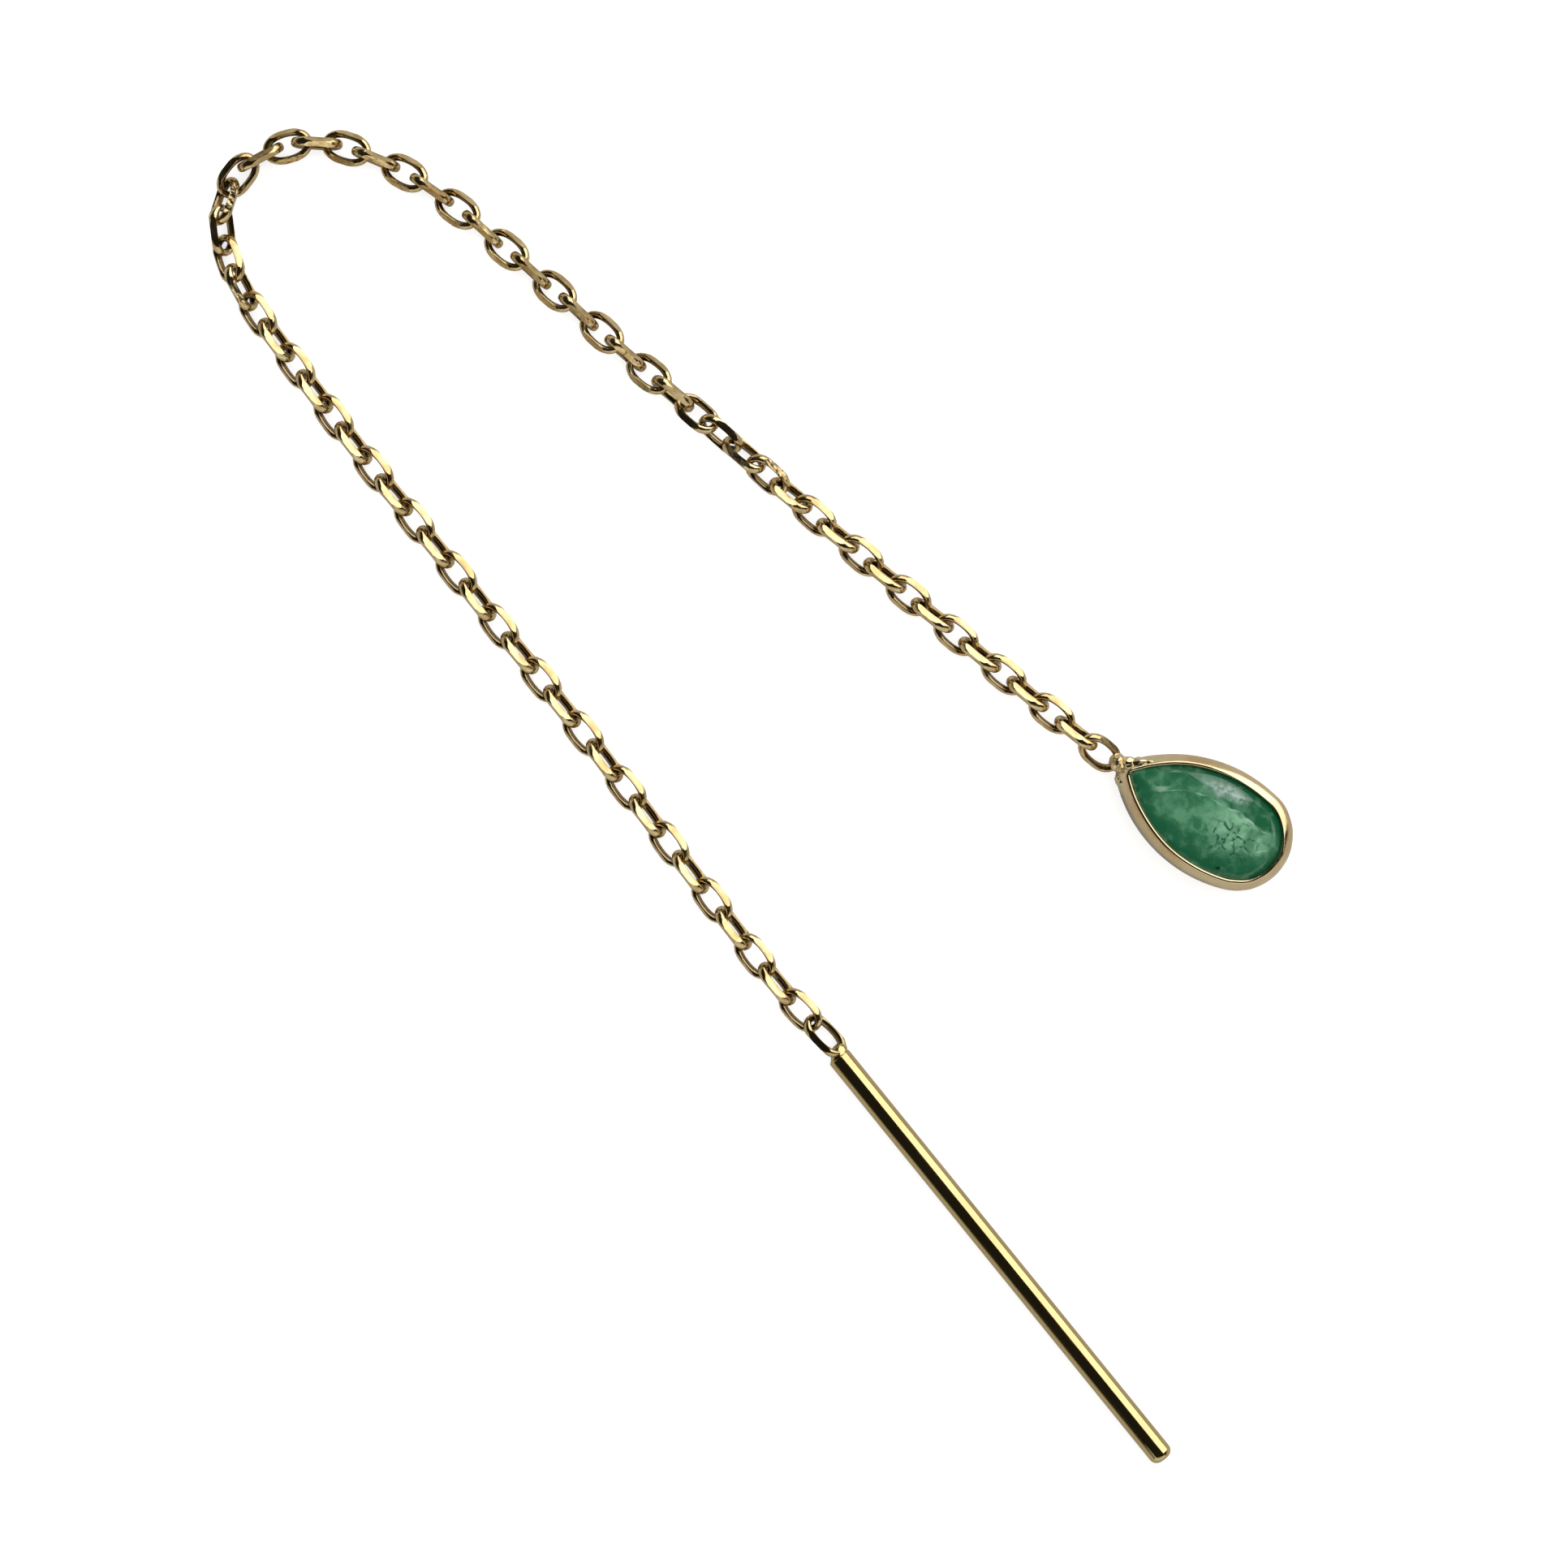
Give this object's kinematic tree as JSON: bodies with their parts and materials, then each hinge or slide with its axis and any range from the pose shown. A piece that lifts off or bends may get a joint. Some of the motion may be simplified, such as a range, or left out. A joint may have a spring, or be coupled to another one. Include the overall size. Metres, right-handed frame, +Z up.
{
  "type": "threader earring",
  "caption": "Threader earring with a plain round needle, a fine oval cable chain and a pear-cut green stone in a bezel setting, lying flat.",
  "frame": {"origin": "middle of the lying earring's bounding box, on the surface that it lies on", "axes": "+Z up from the surface; the needle points along -Y and the chain goes up along +Y, turns to +X and comes back to the pendant"},
  "size_m": [0.0173, 0.0533, 0.0022],
  "materials": {
    "gold": "polished",
    "emerald": "faceted"
  },
  "bodies": {
    "root": {"needle": "gold", "chain_needle_side": "gold", "chain_pendant_side": "gold", "setting": "gold", "stone": "emerald"}
  },
  "joints": []
}
